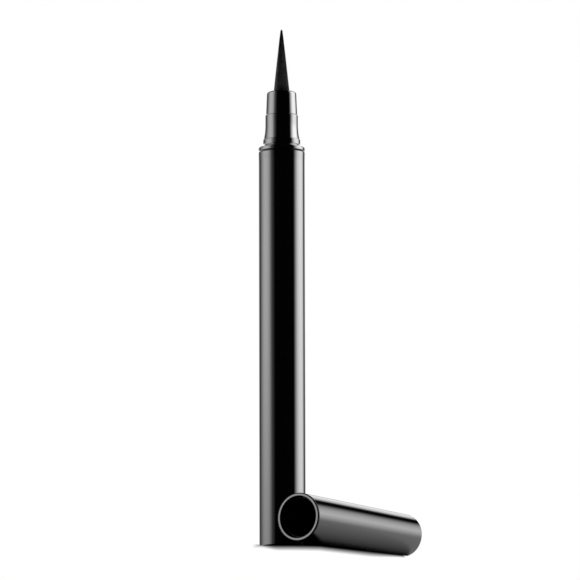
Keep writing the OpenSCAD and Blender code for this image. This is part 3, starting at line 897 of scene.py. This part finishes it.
class MakeBrush(bpy.types.Operator):
    """Grow the bristle bundle out of the nib holder"""

    bl_idname = "eyeliner_pen.brush"
    bl_label = "Brush"

    def execute(self, context):
        sizes = context.scene.brush_sizes
        low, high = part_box("brush_tip")
        radius, strand = sizes.bundle_diameter / 2, sizes.strand_diameter / 2
        reach = high.z - low.z
        values = {
            "Strands": sizes.strands,
            "Root radius": radius - strand,
            "Strand radius": strand,
            "Foot height": low.z,
            "Reach": reach,
            "Lean height": reach * radius / (radius - sizes.point_diameter / 2),
            "Shortest": sizes.shortest,
            "Wave": sizes.wave,
            "Seed": sizes.seed,
            "Material": bristle_material(context.scene.pen_finishes),
        }
        mesh = grown("bristles", bristle_tree(), values)
        place_piece("bristles", mesh, "pen", None, "brush_tip")
        return {"FINISHED"}


class MakeCap(bpy.types.Operator):
    """Turn the cap's shell, the liner inside it and the sealing cup"""

    bl_idname = "eyeliner_pen.cap"
    bl_label = "Cap and liner"

    def execute(self, context):
        scene = context.scene
        sizes, finishes = scene.cap_sizes, scene.pen_finishes
        gloss = lacquer("cap_lacquer", finishes.cap, rough=0.05, ior=1.52)
        polished = lacquer("polished_cap_lip", finishes.lip, rough=0.08, ior=1.6, coat_ior=1.58)
        # The outer rim round the mouth gets the cap's black with little gloss, so it renders as a
        # dark band: painted shade.
        dull, _, _ = surface("painted_shade_rim", finishes.cap, roughness=0.5, Specular_IOR_Level=0.1)
        mesh = turned("cap", cap_outline(sizes), scene.pen_sizes.turned_sides)
        rim_r, facing_out = sizes.mouth_diameter / 2 - sizes.lip_edge, -0.99
        lip_slot, painted_shade_rim_slot, finish_of = 1, 2, {}
        for face in mesh.polygons:
            if face.normal.z < facing_out and face.center.z < PUSH_GAP * MM:
                finish_of[face.index] = lip_slot
            # Outer faces near the mouth take the matte finish of the painted shade band.
            if face.center.z < SHADE_RIM_HEIGHT * MM and face.center.xy.length > rim_r:
                finish_of[face.index] = painted_shade_rim_slot
        place = laid(*cap_lie(sizes))
        mesh.transform(place)
        place_piece("cap", mesh, "cap", gloss, "cap_shell")
        for material in (polished, dull):
            mesh.materials.append(material)
        for face, slot in finish_of.items():
            mesh.polygons[face].material_index = slot
        satin = satin_plastic(
            "cap_lining",
            finishes.lining,
            rough=0.6,
            size_mm=0.12,
            depth_mm=0.004,
            Specular_IOR_Level=0.15,
        )
        inner = ("inner_plastic", satin)
        turned_piece("grip_liner", liner_outline(sizes), "cap", *inner, "cap_liner", place)
        turned_piece("sealing_cup", cup_outline(), "inner_cap", *inner, "inner_cap", place)
        return {"FINISHED"}


class MakeSpring(bpy.types.Operator):
    """Wind the spring behind the sealing cup"""

    bl_idname = "eyeliner_pen.spring"
    bl_label = "Cap spring"

    def execute(self, context):
        sizes, finishes = context.scene.cap_sizes, context.scene.pen_finishes
        low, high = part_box("cap_spring")
        mouth, axis = cap_lie(sizes)
        wire, full = sizes.wire / 2, high.x - low.x
        seat = Vector((low.x, mouth.y, mouth.z + (low.x - mouth.x) * axis.z / axis.x))
        values = {
            "Turns": sizes.spring_turns,
            "Coil radius": sizes.spring_diameter / 2 - wire,
            "Wire radius": wire,
            "Length": full / axis.x - sizes.wire,
            "Material": metal("spring_steel", finishes.steel, rough=0.22),
        }
        mesh = grown("return_spring", spring_tree(), values)
        mesh.transform(laid(seat + axis * wire, axis))
        piece = place_piece("return_spring", mesh, "cap", None, "cap_spring")
        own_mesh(piece)
        return {"FINISHED"}


class FinishInnerParts(bpy.types.Operator):
    """Give the parts inside the pen their plastics, fibre, rubber and metal"""

    bl_idname = "eyeliner_pen.inner_parts"
    bl_label = "Inner parts"

    def execute(self, context):
        finishes = context.scene.pen_finishes
        depth = {"Subsurface_Weight": 0.15, "Subsurface_Scale": 0.0006}
        milk = {"Transmission_Weight": 0.35, "IOR": 1.49}
        fluff = {"Sheen_Weight": 0.4, "Sheen_Roughness": 0.5}
        natural = satin_plastic(
            "natural_plastic", finishes.natural, rough=0.42, size_mm=0.4, depth_mm=0.004, **depth
        )
        tank = satin_plastic(
            "milky_tank", finishes.tank, rough=0.3, size_mm=0.8, depth_mm=0.003, **milk
        )
        rubber = satin_plastic(
            "seal_rubber", finishes.rubber, rough=0.6, size_mm=0.15, depth_mm=0.008
        )
        fibre = satin_plastic(
            "feed_fibre", finishes.fibre, rough=0.85, size_mm=0.09, depth_mm=0.03, **fluff
        )
        steel = metal("polished_steel", finishes.steel, rough=0.1)
        ferrule = metal("ferrule_aluminium", finishes.ferrule, rough=0.3, stretch=(1, 1, 0.05))
        dressed = (
            (rubber, ("tail_seal", "section_seal")),
            (tank, ("ink_tank",)),
            (steel, ("mixing_ball_a", "mixing_ball_b")),
            (natural, ("tank_bung", "collector_comb", "feed_pipe", "brush_retainer")),
            (fibre, ("feed_core",)),
            (ferrule, ("brush_ferrule",)),
        )
        for material, nodes in dressed:
            for node in nodes:
                mesh = frame["nodes"][node].data
                mesh.materials.clear()
                mesh.materials.append(material)
        return {"FINISHED"}


def view_axes(studio):
    """Level directions from the pen towards the camera, and to the camera's right."""
    turn = studio.camera_azimuth
    front = Vector((math.sin(turn), -math.cos(turn), 0))
    return front, Vector((math.cos(turn), math.sin(turn), 0))


def studio_world(studio):
    """White behind the pen, and tall soft panels to both sides that show only in its gloss.

    A panel is laid out on an upright plane at one side: along is how far a direction points away
    from the camera for its reach to the side, and rise is how far it points up. The high light and
    the backdrop behind the pen are laid out in degrees, off the camera's axis and above the floor.
    """
    left_in, left_out = (-0.85, -0.2), (-0.1, 0.7)
    spill_in, spill_out = (-1.5, -0.15), (0.4, 1.3)
    right_in, right_out = (-0.6, 0.05), (0.05, 1.2)
    panel_top, left_foot, right_foot = (0.7, 1.5), (0.06, 0.15), (0.0, 0.26)
    light_side, light_low, light_high = (149, 160), (14, 24), (27, 46)
    backdrop_side, floor_gain = (142, 162), 1.5
    world = bpy.data.worlds.new("soft_panel_studio")
    world.use_nodes = True
    bench = Bench(world.node_tree)
    front, right = view_axes(studio)
    way = bench.add("ShaderNodeTexCoord").outputs["Generated"]
    side, ahead = (bench.measure("DOT_PRODUCT", way, axis) for axis in (right, front))
    up = bench.upright(way)
    reach = bench.most(bench.math("ABSOLUTE", side), 0.001)
    along = bench.ratio(bench.product(ahead, -1.0), reach)
    rise = bench.ratio(up, reach)
    above = bench.math("GREATER_THAN", up, 0.0)
    on_right = bench.math("GREATER_THAN", side, 0.0)
    tall = bench.product(above, bench.soft(rise, *panel_top, 1, 0))

    def panel(starts, ends, level):
        return bench.product(bench.soft(along, *starts), bench.soft(along, *ends, 1, 0), level)

    def sky(strength):
        return bench.result("ShaderNodeBackground", {"Color": (1, 1, 1, 1), "Strength": strength})

    left_panel = bench.product(
        bench.total(
            panel(left_in, left_out, studio.left_panel),
            panel(spill_in, spill_out, studio.left_spill),
        ),
        tall,
        bench.soft(rise, *left_foot, 0.45, 1),
        bench.less(1.0, on_right),
    )
    right_panel = bench.product(
        panel(right_in, right_out, studio.right_panel),
        tall,
        bench.spread(rise, *right_foot, 0.5, 1),
        on_right,
    )
    off_axis = bench.math("DEGREES", bench.math("ARCTAN2", reach, ahead))
    height = bench.math("DEGREES", bench.math("ARCSINE", up))
    back_light = bench.product(
        bench.soft(off_axis, *light_side),
        bench.soft(height, *light_low),
        bench.soft(height, *light_high, 1, 0),
        studio.back_light,
    )
    backdrop = bench.product(
        bench.soft(off_axis, *backdrop_side), bench.soft(height, *light_low, 1, 0), studio.backdrop
    )
    far_floor = bench.product(
        bench.less(1.0, above),
        bench.soft(along, *FLOOR_IN),
        bench.less(2.0, on_right),
        floor_gain,
        studio.floor_light,
    )
    level = bench.total(left_panel, right_panel, back_light, backdrop, far_floor, studio.fill)
    rays = bench.add("ShaderNodeLightPath").outputs
    seen = bench.most(rays["Is Camera Ray"], rays["Is Transmission Ray"])
    shown = bench.blend(seen, sky(level), sky(1.0))
    bench.add("ShaderNodeOutputWorld", {"Surface": shown})
    bpy.context.scene.world = world


def floor_top(bench, studio, place, aside, behind):
    """The floor from above: pale paper that fades to white, with a glow added that AO dims near the
    pen and cap, a painted contact shadow. Other rays see only a glow: a painted reflection of the
    floor.

    Reflections get this painted glow beside and behind the pen, and beside the lying cap, dimmed by
    AO near them as painted contact shade. In front of the pen it is left out, as the photograph's
    black gloss shows nothing bright there.
    """
    paper_out, gloss_out, gloss_left = (0.09, 0.34), (0.03, 0.16), (-0.005, 0.005)
    cap_aside, cap_behind = (0.008, 0.0095), (-0.0178, -0.0168)
    cloud_scale, paper_tones, contact, painted_shade_glow_level = 90.0, (0.8, 0.82), 0.03, 0.4
    away = bench.measure("LENGTH", bench.vector("MULTIPLY", place, (1, 1, 0)))
    clouds = {"Vector": place, "Scale": cloud_scale, "Detail": 3.0}
    cloud = bench.result("ShaderNodeTexNoise", clouds)
    tone = bench.spread(cloud, *NOISE_SPAN, *paper_tones)
    paper = bench.result("ShaderNodeBsdfDiffuse", {"Color": tone, "Roughness": 0.0})
    occlusion = bench.add("ShaderNodeAmbientOcclusion", {"Distance": contact}, samples=16)
    open_sky = occlusion.outputs["AO"]
    # Glow added to the paper, weaker where AO finds the pen and cap close: painted contact shade.
    lift = bench.glow(bench.product(open_sky, painted_shade_glow_level))
    paper_and_painted_shade = bench.result("ShaderNodeAddShader", {0: paper, 1: lift})
    sheet = bench.blend(bench.soft(away, *paper_out), paper_and_painted_shade, bench.glow(1.0))
    along = bench.ratio(behind, bench.most(bench.math("ABSOLUTE", aside), 0.001))
    beside_cap = bench.product(bench.soft(aside, *cap_aside), bench.soft(behind, *cap_behind))
    # Glow that rays other than the camera's see: a painted reflection of the floor, dimmed by AO
    # near the pen and cap as painted contact shade.
    level = bench.product(
        bench.most(bench.soft(along, *FLOOR_IN), beside_cap),
        bench.spread(open_sky, 0.1, 1.0),
        bench.soft(away, *gloss_out, 1, 1.5),
        bench.soft(aside, *gloss_left, 2, 1),
        studio.floor_light,
    )
    direct = bench.add("ShaderNodeLightPath").outputs["Is Camera Ray"]
    return bench.blend(direct, bench.glow(level), sheet)


def floor_underside(bench, rim, cap_side, across, aside, behind):
    """The floor from below: clear in front of the pen and its cap, and a white sheet behind them.

    The sheet starts at the shallow bow of the pen's base and at the line of the lying cap, and
    reaches in under the cap and round the base's left. A contact shadow is drawn on it: a trail
    that runs out to the rear, over a longer run on the right, and a halo on the left of the base.
    """
    edge = 0.0002
    bow, cap_slope, cap_start = 0.1 / rim, 1.226, -0.0143
    halo_front, halo_left, under_cap = (-0.0081, -0.0076), -0.007, (rim - 0.0007, rim - 0.0005)
    run_side, run_left, run_right = (-0.0055, -0.0005), 0.0055, 0.013
    cap_fade, run_past_cap, past_cap = (0.019, 0.029), 0.385, (0.0272, 0.0284)
    bend_side, bend_left, bend_right = (-rim, -0.0015), 0.4, 1.4
    pen_line = bench.math("MULTIPLY_ADD", bench.product(aside, aside), bow, -rim)
    cap_line = bench.math("MULTIPLY_ADD", aside, cap_slope, cap_start)
    beyond = bench.less(behind, bench.most(pen_line, cap_line))
    left_of_pen = bench.soft(aside, -rim - edge, -rim + edge, 1, 0)
    by_halo = bench.product(left_of_pen, bench.soft(behind, *halo_front))
    by_cap = bench.product(
        bench.soft(aside, *under_cap), bench.soft(across, cap_side - 2 * edge, cap_side)
    )
    sheet = bench.most(bench.soft(beyond, -edge, edge), by_cap, by_halo)
    run = bench.product(
        bench.soft(aside, *run_side, run_left, run_right),
        bench.soft(aside, *cap_fade, 1, run_past_cap),
    )
    bend = bench.soft(aside, *bend_side, bend_left, bend_right)
    trail = bench.math("POWER", bench.spread(bench.ratio(beyond, run), 0.0, 1.0), bend)
    halo = bench.product(bench.soft(aside, halo_left, -rim, 1, 0.5), left_of_pen)
    shade = bench.most(trail, halo, bench.soft(aside, *past_cap))
    return bench.blend(sheet, bench.result("ShaderNodeBsdfTransparent"), bench.glow(shade))


def floor_material(studio, rim, cap_side):
    """Pale floor from above, and a clear one from below, where the photograph's camera is.

    Places on it are measured as that camera sees them, to the right of the pen and behind it.
    """
    material = bpy.data.materials.new("pale_floor")
    material.use_nodes = True
    bench = Bench(material.node_tree)
    place = bench.add("ShaderNodeTexCoord").outputs["Object"]
    across = bench.add("ShaderNodeSeparateXYZ", {0: place}).outputs["Y"]
    front, right = view_axes(studio)
    aside, behind = (bench.measure("DOT_PRODUCT", place, axis) for axis in (right, -front))
    top = floor_top(bench, studio, place, aside, behind)
    below = floor_underside(bench, rim, cap_side, across, aside, behind)
    facing = bench.add("ShaderNodeNewGeometry").outputs["Backfacing"]
    bench.add("ShaderNodeOutputMaterial", {"Surface": bench.blend(facing, top, below)})
    return material


def make_floor(material):
    """A round floor just under the pen's base."""
    radius, sides, drop = 1.6, 96, 0.00003
    shape = bmesh.new()
    bmesh.ops.create_circle(shape, cap_ends=True, segments=sides, radius=radius)
    for face in shape.faces:
        if face.normal.z < 0:
            face.normal_flip()
    mesh = bpy.data.meshes.new("floor")
    shape.to_mesh(mesh)
    shape.free()
    mesh.transform(Matrix.Translation((0, 0, -drop)))
    floor = bpy.data.objects.new("floor", mesh)
    mesh.materials.append(material)
    bpy.context.scene.collection.objects.link(floor)


class MakeStage(bpy.types.Operator):
    """Set the floor, the soft light and the camera"""

    bl_idname = "eyeliner_pen.stage"
    bl_label = "Studio"

    def execute(self, context):
        scene = context.scene
        studio = scene.pen_studio
        scene.view_settings.view_transform = "Standard"
        front, right = view_axes(studio)
        base = right * studio.aim_side
        aim = base + Vector((0, 0, studio.aim_height))
        spot = front * studio.camera_distance + base - Vector((0, 0, studio.camera_drop))
        camera = bpy.data.objects.new("photo_camera", bpy.data.cameras.new("photo_camera"))
        scene.collection.objects.link(camera)
        camera.location = spot
        camera.rotation_mode = "QUATERNION"
        roll = Quaternion((0, 0, 1), studio.camera_roll)
        camera.rotation_quaternion = (aim - spot).to_track_quat("-Z", "Y") @ roll
        camera.data.sensor_width = SENSOR_MM
        px_share = studio.scale_px / IMAGE_PX
        camera.data.lens = SENSOR_MM * px_share * (aim - spot).length / MM
        camera.data.clip_end = 10
        scene.camera = camera
        studio_world(studio)
        cap_end, _ = mount("cap_end_face")
        rim = scene.pen_sizes.barrel_diameter / 2
        make_floor(floor_material(studio, rim, cap_end.y))
        return {"FINISHED"}


class EyelinerPenPanel(bpy.types.Panel):
    """Lists the pen's pieces in the sidebar."""

    bl_idname = "VIEW3D_PT_eyeliner_pen"
    bl_label = "Eyeliner Pen"
    bl_space_type = "VIEW_3D"
    bl_region_type = "UI"
    bl_category = "Eyeliner Pen"

    def draw(self, context):
        for maker in MAKERS:
            self.layout.operator(maker.bl_idname)
        for key in GROUPS:
            group, box = getattr(context.scene, key), self.layout.box()
            box.label(text=key.replace("_", " ").capitalize())
            for name in group.bl_rna.properties.keys():
                if name not in ("rna_type", "name"):
                    box.prop(group, name)


MAKERS = (MakeStage, MakeBarrel, MakeCollar, MakeBrush, MakeCap, MakeSpring, FinishInnerParts)
GROUPS = {
    "pen_sizes": PenSizes,
    "cap_sizes": CapSizes,
    "brush_sizes": BrushSizes,
    "pen_finishes": PenFinishes,
    "pen_studio": StudioSettings,
}


def register():
    for cls in (*GROUPS.values(), *MAKERS, EyelinerPenPanel):
        bpy.utils.register_class(cls)
    for name, group in GROUPS.items():
        setattr(bpy.types.Scene, name, PointerProperty(type=group))


def unregister():
    for name in GROUPS:
        delattr(bpy.types.Scene, name)
    for cls in (EyelinerPenPanel, *reversed(MAKERS), *reversed(list(GROUPS.values()))):
        bpy.utils.unregister_class(cls)


def main():
    """Registers the add-on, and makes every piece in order."""
    register()
    for maker in MAKERS:
        group, name = maker.bl_idname.split(".")
        getattr(getattr(bpy.ops, group), name)()


if __name__ == "__main__":
    main()
